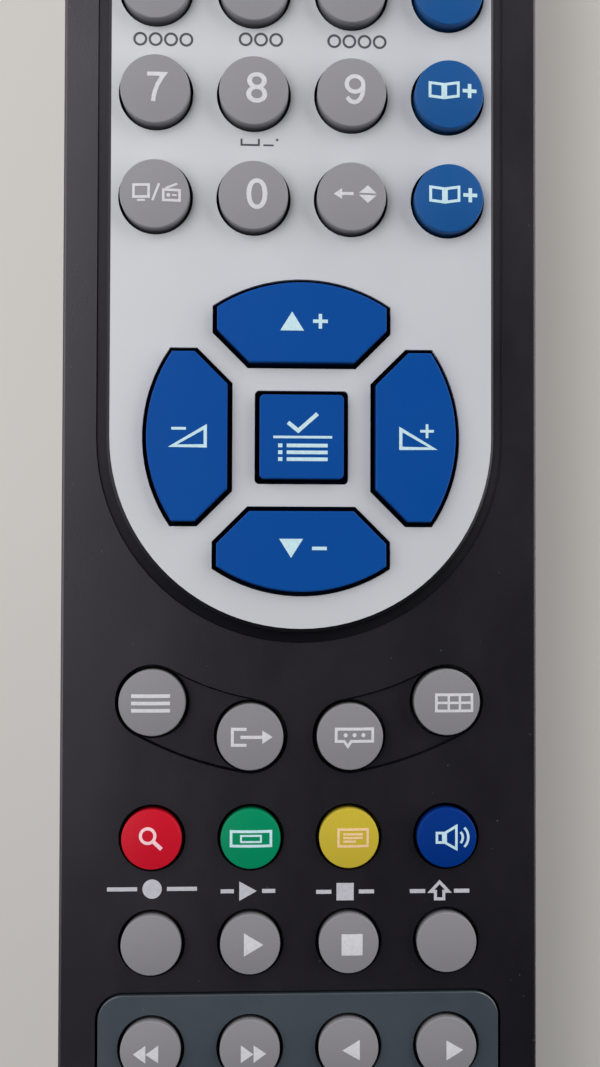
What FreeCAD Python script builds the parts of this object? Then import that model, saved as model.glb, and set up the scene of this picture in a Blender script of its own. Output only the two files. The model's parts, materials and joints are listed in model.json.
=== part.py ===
"""Infrared remote-control handset for a satellite television receiver.

The handset lies on its back: X across it, Y along it towards the infrared window, Z up through the keys.
The origin is on the resting face, at the middle of the width and of the length. All sizes are millimetres.
"""
import FreeCAD
import Part
import math
import os
import re

import Sketcher
from FreeCAD import Vector

FOLDER = "parts"
SAME_PLACE = 1e-4
SMALLEST_CHANGE = 1e-6
GRIP_RIBS = 5
BOARD_RESISTORS = 4
WIRE_SIDES = 8

# Every driving dimension, written once. The sheet gives each one its name as an alias.
SIZES = {
    # case: outside, walls and split
    "case_width": 51.0,
    "case_length": 200.0,
    "case_corner": 8.0,
    "case_wall": 1.6,
    "face_thickness": 2.0,
    "floor_thickness": 1.6,
    "parting_level": 11.0,
    "front_edge_round": 0.35,
    "back_edge_round": 4.0,
    # raised plateau under the face plate
    "plate_width": 40.4,
    "plate_corner": 7.0,
    "plate_end_gap": 7.0,
    "plate_thickness": 0.5,
    "plateau_rise": 1.1,
    "plateau_bevel": 0.45,
    "plateau_groove": 1.2,
    "groove_depth": 0.2,
    # key layout, counted from the centre of the navigation cross
    "nav_from_top": 84.0,
    "column_pitch": 10.33,
    "low_column_pitch": 10.46,
    "row_pitch": 11.05,
    "zero_row_rise": 25.3,
    "power_row_gap": 11.8,
    "colour_row_gap": 10.3,
    "record_row_gap": 11.1,
    "panel_row_gap": 11.05,
    "panel_row_pitch": 11.0,
    # curved belt recesses that hold the four menu keys
    "belt_radius": 32.2,
    "belt_half_width": 4.0,
    "belt_inner_angle": 9.5,
    "belt_outer_angle": 29.2,
    "belt_depth": 0.4,
    "belt_line": 0.2,
    "belt_line_depth": 0.3,
    # inset transport panel
    "panel_width": 42.6,
    "panel_margin": 5.57,
    "panel_corner": 2.6,
    "panel_groove": 0.3,
    "panel_recess": 1.0,
    "panel_proud": 0.15,
    "panel_bevel": 0.08,
    # round keys
    "number_key_radius": 3.64,
    "menu_key_radius": 3.52,
    "small_key_radius": 3.17,
    "key_gap": 0.38,
    "number_key_gap": 0.3,
    "key_rise": 1.5,
    "low_key_rise": 1.0,
    "key_dome": 0.28,
    "key_edge": 0.15,
    # navigation keys
    "nav_radius": 16.8,
    "nav_half_width": 9.44,
    "nav_inner": 7.3,
    "nav_strip": 2.24,
    "ok_half_width": 4.95,
    "ok_corner": 0.5,
    "nav_gap": 0.52,
    "nav_rise": 0.9,
    # what every key has below the face
    "key_travel": 1.0,
    "flange_overhang": 0.5,
    "flange_thickness": 0.8,
    "flange_gap": 0.2,
    "press_gap": 0.2,
    "foot_inset": 0.6,
    "mat_hole_gap": 0.3,
    "foot_gap": 0.1,
    # rubber mat and circuit board
    "mat_thickness": 1.0,
    "mat_margin": 5.0,
    "mat_corner": 3.0,
    "board_thickness": 1.6,
    "board_clearance": 0.5,
    "board_gap": 0.1,
    # batteries, size AAA, and their contacts
    "battery_radius": 5.25,
    "battery_length": 44.5,
    "battery_nub_radius": 1.9,
    "battery_nub_length": 0.8,
    "battery_edge": 0.4,
    "battery_spacing": 11.0,
    "battery_clearance": 0.3,
    "contact_thickness": 0.4,
    "contact_half_width": 3.6,
    "contact_gap": 0.1,
    "contact_tab": 2.4,
    "slot_clearance": 0.15,
    "spring_length": 3.0,
    "spring_radius": 2.5,
    "spring_turns": 3.0,
    "wire_radius": 0.28,
    # battery bay, door and its rails
    "bay_wall": 1.2,
    "bay_from_end": 10.0,
    "door_thickness": 1.8,
    "door_half_width": 18.0,
    "door_gap": 0.2,
    "door_lap": 3.0,
    "rail_thickness": 1.0,
    "rail_overhang": 1.2,
    "rail_grip": 1.6,
    "shelf_thickness": 1.3,
    "grip_width": 16.0,
    "grip_rib": 1.0,
    "grip_depth": 0.5,
    "grip_from_top": 9.0,
    # screws, bosses and posts
    "screw_radius": 1.0,
    "screw_head_radius": 1.9,
    "screw_head_height": 1.4,
    "screw_head_gap": 0.3,
    "screw_bite": 2.0,
    "screw_clearance": 0.15,
    "screw_slot": 0.5,
    "screw_slot_reach": 1.15,
    "thread_gap": 0.03,
    "boss_radius": 2.5,
    "top_screw_x": 8.0,
    "top_screw_inset": 10.0,
    "low_screw_x": 14.0,
    "low_screw_inset": 5.0,
    "post_radius": 1.5,
    "post_x": 16.0,
    "post_pitch": 45.0,
    # infrared window and emitter
    "window_half_width": 12.0,
    "window_low": 7.2,
    "window_tall": 6.0,
    "window_lip": 0.7,
    "window_gap": 0.1,
    "led_radius": 2.5,
    "led_length": 5.0,
    "led_lead": 0.5,
    "led_lead_spread": 1.27,
    "led_lead_reach": 1.6,
    # components under the board
    "chip_width": 10.0,
    "chip_length": 7.0,
    "chip_height": 1.7,
    "can_radius": 1.8,
    "can_height": 2.4,
    "resistor_length": 2.0,
    "resistor_width": 1.2,
    "resistor_height": 0.55,
    "resistor_x": 7.0,
    "resistor_pitch": 4.0,
    "component_pitch": 12.0,
}

# Levels and places that follow from the driving dimensions.
BATTERY_AXIS = "(door_thickness + battery_clearance + battery_radius)"
BAY_CEILING = f"({BATTERY_AXIS} + battery_radius + battery_clearance)"
BAY_TOP = f"({BAY_CEILING} + bay_wall)"
BOARD_LEVEL = f"({BAY_TOP} + board_gap)"
BOARD_TOP = f"({BOARD_LEVEL} + board_thickness)"
MAT_TOP = f"({BOARD_TOP} + mat_thickness)"
FOOT_LEVEL = f"({BOARD_TOP} + key_travel + foot_gap)"
FLANGE_LEVEL = f"({MAT_TOP} + key_travel + press_gap)"
FLANGE_TOP = f"({FLANGE_LEVEL} + flange_thickness)"
INNER_FACE = f"({FLANGE_TOP} + flange_gap)"
FACE = f"({INNER_FACE} + face_thickness)"
PLATEAU_TOP = f"({FACE} + plateau_rise)"
PLATE_TOP = f"({PLATEAU_TOP} + plate_thickness)"
PANEL_FLOOR = f"({FACE} - panel_recess)"
PANEL_TOP = f"({FACE} + panel_proud)"

TOP_END = "(case_length / 2)"
NAV_Y = f"({TOP_END} - nav_from_top)"
ZERO_ROW = f"({NAV_Y} + zero_row_rise)"
POWER_ROW = f"({ZERO_ROW} + 3 * row_pitch + power_row_gap)"
COLOUR_ROW = f"({NAV_Y} - belt_radius - colour_row_gap)"
RECORD_ROW = f"({COLOUR_ROW} - record_row_gap)"
PANEL_ROW = f"({RECORD_ROW} - panel_row_gap)"
LOWEST_ROW = f"({PANEL_ROW} - panel_row_pitch)"
OUTER_COLUMN = "(1.5 * column_pitch)"

BAY_LOW = f"(bay_from_end - {TOP_END})"
BAY_LENGTH = "(2 * contact_thickness + spring_length + battery_length + contact_gap)"
BAY_HIGH = f"({BAY_LOW} + {BAY_LENGTH})"
BAY_HALF = "(battery_spacing / 2 + battery_radius + battery_clearance)"
DOOR_HIGH = f"({BAY_HIGH} + door_lap)"
RAIL_HALF = "(door_half_width + rail_overhang)"
RAIL_LOW = "(floor_thickness + door_gap)"
RAIL_TOP = f"({RAIL_LOW} + rail_thickness)"
SHELF_LEVEL = f"({RAIL_TOP} + door_gap)"
SHELF_TOP = f"({SHELF_LEVEL} + shelf_thickness)"
SCREW_SEAT = f"({SHELF_LEVEL} + screw_head_gap + screw_head_height)"
SCREW_TIP = f"({BOARD_TOP} + screw_bite)"
LEAD_HALF = "(led_lead / 2)"

# Each round key: its name, its family, and its place.
NUMBER, MENU, SMALL = "number", "menu", "small"
KEY_RADIUS = {NUMBER: "number_key_radius", MENU: "menu_key_radius", SMALL: "small_key_radius"}
KEY_GAP = {NUMBER: "number_key_gap", MENU: "key_gap", SMALL: "key_gap"}
KEY_CROWN = {
    NUMBER: f"({PLATE_TOP} + key_rise)",
    MENU: f"({FACE} + low_key_rise)",
    SMALL: f"({FACE} + low_key_rise)",
}
NAV_TURNS = {"channel_up": 0, "volume_down": 1, "channel_down": 2, "volume_up": 3}

doc = FreeCAD.newDocument("remote_handset")
sheet = doc.addObject("Spreadsheet::Sheet", "sizes")
parts = []


def fill_sheet():
    """Writes each driving dimension to a row of the sheet and gives its cell the name as an alias."""
    for row, (name, number) in enumerate(SIZES.items(), start=1):
        sheet.set(f"A{row}", name)
        sheet.set(f"B{row}", str(number))
        sheet.setAlias(f"B{row}", name)
    doc.recompute()


def bound(text):
    """An expression in the names of SIZES, written the way the document wants it."""
    return re.sub(r"[a-z_]+", in_sheet, text)


def in_sheet(word):
    """A word of an expression: a size gets the sheet's name before it, and any other stays."""
    return f"sizes.{word.group()}" if word.group() in SIZES else word.group()


def value(text):
    """The number that an expression gives now."""
    result = sheet.evalExpression(bound(text))
    return float(getattr(result, "Value", result))


def bind(item, **properties):
    """Binds properties to expressions. A double underscore in a name stands for a dot."""
    for name, text in properties.items():
        item.setExpression(name.replace("__", "."), bound(text))


def place(item, x="0", y="0", z="0"):
    """Binds where an item's own origin is."""
    bind(item, Placement__Base__x=x, Placement__Base__y=y, Placement__Base__z=z)


def keep(item, name):
    """Marks an item as a finished sub-part, with the name of its file."""
    item.Label = name
    parts.append(item)
    return item


# ---- sketches ----


def new_body(name):
    return doc.addObject("PartDesign::Body", name)


def new_sketch(owner, name, level, plane="XY_Plane"):
    """A sketch on one of the body's own origin planes, lifted to a level."""
    drawing = owner.newObject("Sketcher::SketchObject", f"{owner.Name}_{name}_sketch")
    base = next(feature for feature in owner.Origin.OriginFeatures if feature.Role == plane)
    drawing.AttachmentSupport = [(base, "")]
    drawing.MapMode = "FlatFace"
    bind(drawing, AttachmentOffset__Base__z=level)
    return drawing


def pin(drawing, geometry, point, x, y):
    """Ties a point of the sketch to two expressions."""
    for kind, text in (("DistanceX", x), ("DistanceY", y)):
        number = drawing.addConstraint(Sketcher.Constraint(kind, -1, 1, geometry, point, value(text)))
        drawing.setExpression(f"Constraints[{number}]", bound(text))


def set_radius(drawing, geometry, radius):
    number = drawing.addConstraint(Sketcher.Constraint("Radius", geometry, abs(value(radius))))
    drawing.setExpression(f"Constraints[{number}]", bound(f"abs({radius})"))


def arc_between(start, end, radius):
    """The anticlockwise arc of this radius, at most half a circle, from start to end."""
    chord = end - start
    across = Vector(-chord.y, chord.x, 0).normalize()
    centre = (start + end) * 0.5 + across * math.sqrt(max(radius**2 - chord.Length**2 / 4, 0))
    first = math.atan2(start.y - centre.y, start.x - centre.x)
    last = math.atan2(end.y - centre.y, end.x - centre.x)
    if last < first:
        last += 2 * math.pi
    return Part.ArcOfCircle(Part.Circle(centre, Vector(0, 0, 1), radius), first, last)


def draw_loop(drawing, corners):
    """Draws a closed loop, anticlockwise. A corner is (x, y), or (x, y, radius) when an arc leads on from it.

    A negative radius makes the arc hollow.
    """
    points = [Vector(value(corner[0]), value(corner[1]), 0) for corner in corners]
    first = drawing.GeometryCount
    start_points = []
    for index, corner in enumerate(corners):
        start, end = points[index], points[(index + 1) % len(points)]
        radius = value(corner[2]) if len(corner) == 3 else 0
        if radius == 0:
            drawing.addGeometry(Part.LineSegment(start, end), False)
        elif radius > 0:
            drawing.addGeometry(arc_between(start, end, radius), False)
        else:
            drawing.addGeometry(arc_between(end, start, -radius), False)
        start_points.append(2 if radius < 0 else 1)
    for index, corner in enumerate(corners):
        following = (index + 1) % len(corners)
        joint = (first + index, 3 - start_points[index], first + following, start_points[following])
        drawing.addConstraint(Sketcher.Constraint("Coincident", *joint))
        pin(drawing, first + index, start_points[index], corner[0], corner[1])
        if len(corner) == 3:
            set_radius(drawing, first + index, corner[2])


def draw_circle(drawing, x, y, radius):
    circle = Part.Circle(Vector(value(x), value(y), 0), Vector(0, 0, 1), value(radius))
    geometry = drawing.addGeometry(circle, False)
    pin(drawing, geometry, 3, x, y)
    set_radius(drawing, geometry, radius)


def rounded_box(x_low, x_high, y_low, y_high, radius):
    """The corners of a rectangle with rounded corners."""
    return [
        (f"{x_low} + {radius}", y_low),
        (f"{x_high} - {radius}", y_low, radius),
        (x_high, f"{y_low} + {radius}"),
        (x_high, f"{y_high} - {radius}", radius),
        (f"{x_high} - {radius}", y_high),
        (f"{x_low} + {radius}", y_high, radius),
        (x_low, f"{y_high} - {radius}"),
        (x_low, f"{y_low} + {radius}", radius),
    ]


def case_loop(inset):
    """The plan outline of the case, moved inwards."""
    half = f"(case_width / 2 - {inset})"
    end = f"({TOP_END} - {inset})"
    return rounded_box(f"-{half}", half, f"-{end}", end, f"(case_corner - {inset})")


def plate_loop(grow):
    """The U-shaped outline of the face plate, moved outwards: a half round about the navigation cross."""
    half = f"(plate_width / 2 + {grow})"
    high = f"({TOP_END} - plate_end_gap + {grow})"
    corner = f"(plate_corner + {grow})"
    return [
        (f"-{half}", NAV_Y, half),
        ("0", f"{NAV_Y} - {half}", half),
        (half, NAV_Y),
        (half, f"{high} - {corner}", corner),
        (f"{half} - {corner}", high),
        (f"{corner} - {half}", high, corner),
        (f"-{half}", f"{high} - {corner}"),
    ]


def panel_loop(grow):
    """The outline of the transport panel, moved outwards."""
    half = f"(panel_width / 2 + {grow})"
    low = f"({LOWEST_ROW} - panel_margin - {grow})"
    high = f"({PANEL_ROW} + panel_margin + {grow})"
    return rounded_box(f"-{half}", half, low, high, f"(panel_corner + {grow})")


def belt_point(angle, radius, along="0"):
    """A point at an angle from straight down about the navigation cross, moved along the belt."""
    x = f"(sin({angle}) * {radius} + cos({angle}) * {along})"
    y = f"({NAV_Y} - cos({angle}) * {radius} + sin({angle}) * {along})"
    return x, y


def belt_loop(side, inset="0"):
    """The outline of a belt recess, a curved slot with round ends, moved inwards. side: 1 right, -1 left."""
    near, far = "belt_inner_angle", "belt_outer_angle"
    if side < 0:
        near, far = f"-{far}", f"-{near}"
    half = f"(belt_half_width - {inset})"
    outer, inner = f"(belt_radius + {half})", f"(belt_radius - {half})"
    return [
        (*belt_point(near, outer), outer),
        (*belt_point(far, outer), half),
        (*belt_point(far, "belt_radius", half), half),
        (*belt_point(far, inner), f"-{inner}"),
        (*belt_point(near, inner), half),
        (*belt_point(near, "belt_radius", f"(-{half})"), half),
    ]


def nav_loop(quarter_turns, inset):
    """The outline of one navigation key opening, moved inwards and turned about the cross by quarters."""
    half = f"(nav_half_width - {inset})"
    radius = f"(nav_radius - {inset})"
    inner = f"(nav_inner + {inset})"
    slant = f"((nav_strip + 2 * {inset}) / sqrt(2))"
    shoulder = f"sqrt({radius}^2 - {half}^2)"
    corners = [
        (half, shoulder, radius),
        (f"-{half}", shoulder),
        (f"-{half}", f"({half} + {slant})"),
        (f"-({inner} - {slant})", inner),
        (f"({inner} - {slant})", inner),
        (half, f"({half} + {slant})"),
    ]
    for _ in range(quarter_turns):
        corners = [(f"-({corner[1]})", *(corner[0], *corner[2:])) for corner in corners]
    return [(corner[0], f"{NAV_Y} + ({corner[1]})", *corner[2:]) for corner in corners]


def ok_loop(inset):
    """The outline of the square centre key's opening, moved inwards."""
    half = f"(ok_half_width - {inset})"
    return rounded_box(f"-{half}", half, f"({NAV_Y} - {half})", f"({NAV_Y} + {half})", "ok_corner")


# ---- features ----


def pad(owner, name, level, tall, loops=(), circles=()):
    """Adds material from a level upwards."""
    feature = owner.newObject("PartDesign::Pad", f"{owner.Name}_{name}")
    feature.Profile = filled_sketch(owner, name, level, loops, circles)
    bind(feature, Length=tall)
    return feature


def pocket(owner, name, level, deep, loops=(), circles=()):
    """Cuts from a level downwards."""
    feature = owner.newObject("PartDesign::Pocket", f"{owner.Name}_{name}")
    feature.Profile = filled_sketch(owner, name, level, loops, circles)
    bind(feature, Length=deep)
    return feature


def filled_sketch(owner, name, level, loops, circles):
    drawing = new_sketch(owner, name, level)
    for loop in loops:
        draw_loop(drawing, loop)
    for x, y, radius in circles:
        draw_circle(drawing, x, y, radius)
    drawing.recompute()
    return drawing


def block(owner, kind, name, x, y, z):
    """Adds or cuts a block. kind is Additive or Subtractive; x, y and z are pairs of expressions."""
    feature = owner.newObject(f"PartDesign::{kind}Box", f"{owner.Name}_{name}")
    bind(feature, Length=f"{x[1]} - ({x[0]})", Width=f"{y[1]} - ({y[0]})", Height=f"{z[1]} - ({z[0]})")
    place(feature, x[0], y[0], z[0])
    return feature


def edge_feature(owner, kind, name, base, chosen, **sizes):
    """A fillet or chamfer on the edges of a feature that a test picks."""
    doc.recompute()
    edges = [f"Edge{index}" for index, edge in enumerate(base.Shape.Edges, start=1) if chosen(edge)]
    feature = owner.newObject(f"PartDesign::{kind}", f"{owner.Name}_{name}")
    feature.Base = (base, edges)
    bind(feature, **sizes)
    return feature


def lies_at(level):
    """A test for edges that lie wholly at one level."""
    target = value(level)
    return lambda edge: max(abs(vertex.Z - target) for vertex in edge.Vertexes) < SAME_PLACE


def revolve(owner, name, corners):
    """Turns a profile of (radius, height) corners about the body's own Z axis."""
    drawing = new_sketch(owner, name, "0", "XZ_Plane")
    draw_loop(drawing, corners)
    feature = owner.newObject("PartDesign::Revolution", f"{owner.Name}_{name}")
    feature.Profile = drawing
    feature.ReferenceAxis = (drawing, ["V_Axis"])
    feature.Angle = 360
    return feature


def coil(name, x, y, quarter_turns):
    """A contact spring along Y that starts at y: one quarter turn points it to +Y, three to -Y."""
    spine = doc.addObject("Part::Helix", f"{name}_spine")
    rise = "(spring_length - 2 * wire_radius)"
    bind(spine, Radius="spring_radius", Height=rise, Pitch=f"{rise} / spring_turns")
    spine.SegmentLength = 1
    place(spine, z="wire_radius")
    ring = doc.addObject("Part::RegularPolygon", f"{name}_wire")
    ring.Polygon = WIRE_SIDES
    bind(ring, Circumradius="wire_radius")
    ring.Placement.Rotation = FreeCAD.Rotation(Vector(1, 0, 0), 90)
    place(ring, x="spring_radius", z="wire_radius")
    spring = doc.addObject("Part::Sweep", name)
    spring.Sections = [ring]
    spring.Spine = (spine, [])
    spring.Solid = True
    spring.Frenet = True
    spring.Placement.Rotation = FreeCAD.Rotation(Vector(1, 0, 0), -90 * quarter_turns)
    place(spring, x, y, BATTERY_AXIS)
    return spring


def compound(name, pieces):
    """Keeps separate solids together as one sub-part."""
    group = doc.addObject("Part::Compound", name)
    group.Links = pieces
    return keep(group, name)


# ---- key layout ----


def grid(names, row, family):
    """Four keys in the four columns of a row. None leaves a column free."""
    pitch = "low_column_pitch" if family == SMALL else "column_pitch"
    columns = [f"({step} * {pitch})" for step in (-1.5, -0.5, 0.5, 1.5)]
    return [(name, family, column, row) for name, column in zip(names, columns) if name]


def round_keys():
    """Every round key: (name, family, x, y)."""
    keys = grid(("power", None, None, "mute"), POWER_ROW, NUMBER)
    keys += grid(("1", "2", "3", "favourite"), f"({ZERO_ROW} + 3 * row_pitch)", NUMBER)
    keys += grid(("4", "5", "6", "zoom"), f"({ZERO_ROW} + 2 * row_pitch)", NUMBER)
    keys += grid(("7", "8", "9", "page_up"), f"({ZERO_ROW} + row_pitch)", NUMBER)
    keys += grid(("tv_radio", "0", "recall", "page_down"), ZERO_ROW, NUMBER)
    belt = {
        "menu": "-belt_outer_angle",
        "exit": "-belt_inner_angle",
        "info": "belt_inner_angle",
        "guide": "belt_outer_angle",
    }
    keys += [(name, MENU, *belt_point(angle, "belt_radius")) for name, angle in belt.items()]
    keys += grid(("red", "green", "yellow", "blue"), COLOUR_ROW, SMALL)
    keys += grid(("record", "play", "stop", "shift"), RECORD_ROW, SMALL)
    keys += panel_keys()
    return keys


def panel_keys():
    keys = grid(("rewind", "forward", "previous", "next"), PANEL_ROW, SMALL)
    return keys + grid(("slow", "pause", "repeat", "timer"), LOWEST_ROW, SMALL)


def key_circles(keys, grow):
    """A circle for each key, larger than its cap by grow."""
    return [(x, y, f"({KEY_RADIUS[family]} + {grow})") for _, family, x, y in keys]


def key_holes(keys):
    """The hole that each cap passes through."""
    return [(x, y, f"({KEY_RADIUS[family]} + {KEY_GAP[family]})") for _, family, x, y in keys]


def nav_loops(inset):
    """The five outlines of the navigation cross."""
    return [nav_loop(turns, inset) for turns in NAV_TURNS.values()] + [ok_loop(inset)]


def screw_places():
    high = f"({TOP_END} - top_screw_inset)"
    low = f"(low_screw_inset - {TOP_END})"
    return [
        ("-top_screw_x", high),
        ("top_screw_x", high),
        ("-low_screw_x", low),
        ("low_screw_x", low),
    ]


# ---- sub-parts ----


def make_round_key(name, family, x, y):
    """A hard cap with a domed top, a flange that stops under the face, and a foot that meets the board."""
    key = new_body(f"key_{name}")
    cap, crown = KEY_RADIUS[family], KEY_CROWN[family]
    foot = f"({cap} - foot_inset)"
    flange = f"({cap} + {KEY_GAP[family]} + flange_overhang)"
    flat = f"({cap} - key_edge)"
    dome = f"(({flat}^2 + key_dome^2) / (2 * key_dome))"
    profile = [
        ("0", FOOT_LEVEL),
        (foot, FOOT_LEVEL),
        (foot, FLANGE_LEVEL),
        (flange, FLANGE_LEVEL),
        (flange, FLANGE_TOP),
        (cap, FLANGE_TOP),
        (cap, f"({crown} - key_dome - key_edge)", "key_edge"),
        (flat, f"({crown} - key_dome)", dome),
        ("0", crown),
    ]
    revolve(key, "turned", profile)
    place(key, x, y)
    keep(key, key.Name)


def make_flat_key(name, outline):
    """A navigation key: foot, flange and cap share one outline, each with its own inset."""
    key = new_body(f"key_{name}")
    crown = f"({PLATE_TOP} + nav_rise)"
    pad(key, "foot", FOOT_LEVEL, f"{FLANGE_LEVEL} - {FOOT_LEVEL}", [outline("(nav_gap + foot_inset)")])
    pad(key, "flange", FLANGE_LEVEL, "flange_thickness", [outline("(-flange_overhang)")])
    cap = pad(key, "cap", FLANGE_TOP, f"{crown} - {FLANGE_TOP}", [outline("nav_gap")])
    edge_feature(key, "Fillet", "edge", cap, lies_at(crown), Radius="key_edge")
    keep(key, key.Name)


def make_top_case():
    """The upper shell, with the plateau, belt and panel recesses, key openings and screw bosses."""
    case = new_body("top_case")
    shell = pad(case, "shell", "parting_level", f"{FACE} - parting_level", [case_loop("0")])
    edge_feature(case, "Fillet", "front_edge", shell, lies_at(FACE), Radius="front_edge_round")
    bevelled = plate_loop("plateau_bevel")
    plateau = pad(case, "plateau", FACE, "plateau_rise", [bevelled])
    edge_feature(case, "Chamfer", "bevel", plateau, lies_at(PLATEAU_TOP), Size="plateau_bevel")
    pocket(case, "cavity", INNER_FACE, f"{INNER_FACE} - parting_level", [case_loop("case_wall")])
    groove = plate_loop("(plateau_bevel + plateau_groove)")
    pocket(case, "groove", FACE, "groove_depth", [groove, bevelled])
    pocket(case, "belts", FACE, "belt_depth", [belt_loop(-1), belt_loop(1)])
    lines = [belt_loop(side, inset) for side in (-1, 1) for inset in ("0", "belt_line")]
    pocket(case, "belt_lines", f"({FACE} - belt_depth)", "belt_line_depth", lines)
    pocket(case, "panel_recess", FACE, "panel_recess", [panel_loop("panel_groove")])
    holes = key_holes(round_keys())
    pocket(case, "openings", PLATEAU_TOP, f"{PLATEAU_TOP} - {INNER_FACE}", nav_loops("0"), holes)
    bosses = [(x, y, "boss_radius") for x, y in screw_places()]
    pad(case, "bosses", BOARD_TOP, f"{INNER_FACE} - {BOARD_TOP}", circles=bosses)
    threads = [(x, y, "(screw_radius + thread_gap)") for x, y in screw_places()]
    deep = "(screw_bite + screw_clearance)"
    pocket(case, "threads", f"({BOARD_TOP} + {deep})", deep, circles=threads)
    cut_window(case)
    keep(case, "top_case")


def cut_window(case):
    """Opens the end wall for the infrared window, and clears room behind it for the window's lip."""
    half = "(window_half_width + window_gap)"
    low, high = "(window_low - window_gap)", "(window_low + window_tall + window_gap)"
    span = (f"({TOP_END} - case_wall)", TOP_END)
    block(case, "Subtractive", "window", (f"-{half}", half), span, (low, high))


def make_bottom_case():
    """The lower shell, with the battery bay, the door's slot and rails, screw bosses and board posts."""
    case = new_body("bottom_case")
    shell = pad(case, "shell", "0", "parting_level", [case_loop("0")])
    edge_feature(case, "Fillet", "back_edge", shell, lies_at("0"), Radius="back_edge_round")
    pocket(case, "cavity", "parting_level", "parting_level - floor_thickness", [case_loop("case_wall")])
    inside = "(case_width / 2 - case_wall)"
    low_end = f"(case_wall - {TOP_END})"
    shelf_end = f"({DOOR_HIGH} + bay_wall)"
    corner = "(case_corner - case_wall)"
    shelf = [
        (f"{corner} - {inside}", low_end),
        (f"{inside} - {corner}", low_end, corner),
        (inside, f"{low_end} + {corner}"),
        (inside, shelf_end),
        (f"-{inside}", shelf_end),
        (f"-{inside}", f"{low_end} + {corner}", corner),
    ]
    pad(case, "shelf", "floor_thickness", f"{SHELF_TOP} - floor_thickness", [shelf])
    side = f"({BAY_HALF} + bay_wall)"
    ends = (f"({BAY_LOW} - bay_wall)", f"({BAY_HIGH} + bay_wall)")
    block(case, "Additive", "bay", (f"-{side}", side), ends, ("floor_thickness", BAY_TOP))
    bosses = [(x, y, "boss_radius") for x, y in screw_places()]
    pad(case, "bosses", "floor_thickness", f"{BOARD_LEVEL} - floor_thickness", circles=bosses)
    posts = [(x, f"{y} * post_pitch", "post_radius") for x in ("-post_x", "post_x") for y in (0, 1)]
    pad(case, "posts", "floor_thickness", f"{BOARD_LEVEL} - floor_thickness", circles=posts)
    across = (f"-{BAY_HALF}", BAY_HALF)
    block(case, "Subtractive", "bay_room", across, (BAY_LOW, BAY_HIGH), ("0", BAY_CEILING))
    opening = "(door_half_width + door_gap)"
    long = (f"-{TOP_END}", f"({DOOR_HIGH} + door_gap)")
    room = "(door_thickness + door_gap)"
    block(case, "Subtractive", "door_slot", (f"-{opening}", opening), long, ("0", room))
    groove = f"({RAIL_HALF} + door_gap)"
    grip = "(door_half_width - rail_grip - door_gap)"
    for name, x in (("left_rail", (f"-{groove}", f"-{grip}")), ("right_rail", (grip, groove))):
        block(case, "Subtractive", name, x, long, ("floor_thickness", SHELF_LEVEL))
    holes = [(x, y, "(screw_radius + screw_clearance)") for x, y in screw_places()]
    pocket(case, "screw_holes", BOARD_LEVEL, BOARD_LEVEL, circles=holes)
    seats = [(x, y, "(screw_head_radius + screw_clearance)") for x, y in screw_places()]
    pocket(case, "screw_seats", SCREW_SEAT, SCREW_SEAT, circles=seats)
    for name, x in contact_places().items():
        slot = "(contact_tab / 2 + slot_clearance)"
        wide = (f"{x} - {slot}", f"{x} + {slot}")
        deep = (f"({BAY_HIGH} - contact_thickness - slot_clearance)", BAY_HIGH)
        block(case, "Subtractive", f"{name}_slot", wide, deep, (BAY_CEILING, BAY_TOP))
    cut_window(case)
    keep(case, "bottom_case")


def contact_places():
    """The contacts at the bay's upper end and the middle of the cell that each one meets."""
    return {"positive": "-(battery_spacing / 2)", "negative": "(battery_spacing / 2)"}


def make_battery_door():
    """A panel flush with the back, with a rail along each side and a ribbed thumb grip, open-ended slide."""
    blank = new_body("door_envelope")
    shell = pad(blank, "shell", "0", "parting_level", [case_loop("0")])
    edge_feature(blank, "Fillet", "back_edge", shell, lies_at("0"), Radius="back_edge_round")
    door = new_body("door_plate")
    end = f"-{TOP_END}"
    width = ("-door_half_width", "door_half_width")
    block(door, "Additive", "panel", width, (end, DOOR_HIGH), ("0", "door_thickness"))
    grip = "(door_half_width - rail_grip)"
    for name, x in (("left_rail", (f"-{RAIL_HALF}", f"-{grip}")), ("right_rail", (grip, RAIL_HALF))):
        block(door, "Additive", name, x, (end, DOOR_HIGH), (RAIL_LOW, RAIL_TOP))
    for step in range(GRIP_RIBS):
        low = f"({DOOR_HIGH} - grip_from_top - {2 * step} * grip_rib)"
        rib = (low, f"({low} + grip_rib)")
        half = f"(grip_width / 2 - {step} * grip_rib)"
        block(door, "Subtractive", f"grip_{step}", (f"-{half}", half), rib, ("0", "grip_depth"))
    trimmed = doc.addObject("Part::Common", "battery_door")
    trimmed.Base = blank
    trimmed.Tool = door
    keep(trimmed, "battery_door")


def make_face_plate():
    """The thin U-shaped plate on the plateau."""
    plate = new_body("face_plate")
    pad(plate, "sheet", PLATEAU_TOP, "plate_thickness", [plate_loop("0")])
    keys = [key for key in round_keys() if key[1] == NUMBER]
    holes = key_holes(keys)
    pocket(plate, "openings", PLATE_TOP, "plate_thickness", nav_loops("0"), holes)
    keep(plate, "face_plate")


def make_transport_plate():
    """The inset panel round the two lowest rows of keys, with a bevelled edge."""
    plate = new_body("transport_plate")
    sheet_pad = pad(plate, "sheet", PANEL_FLOOR, "panel_recess + panel_proud", [panel_loop("0")])
    edge_feature(plate, "Chamfer", "bevel", sheet_pad, lies_at(PANEL_TOP), Size="panel_bevel")
    holes = key_holes(panel_keys())
    pocket(plate, "openings", PANEL_TOP, "panel_recess + panel_proud", circles=holes)
    keep(plate, "transport_plate")


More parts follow.
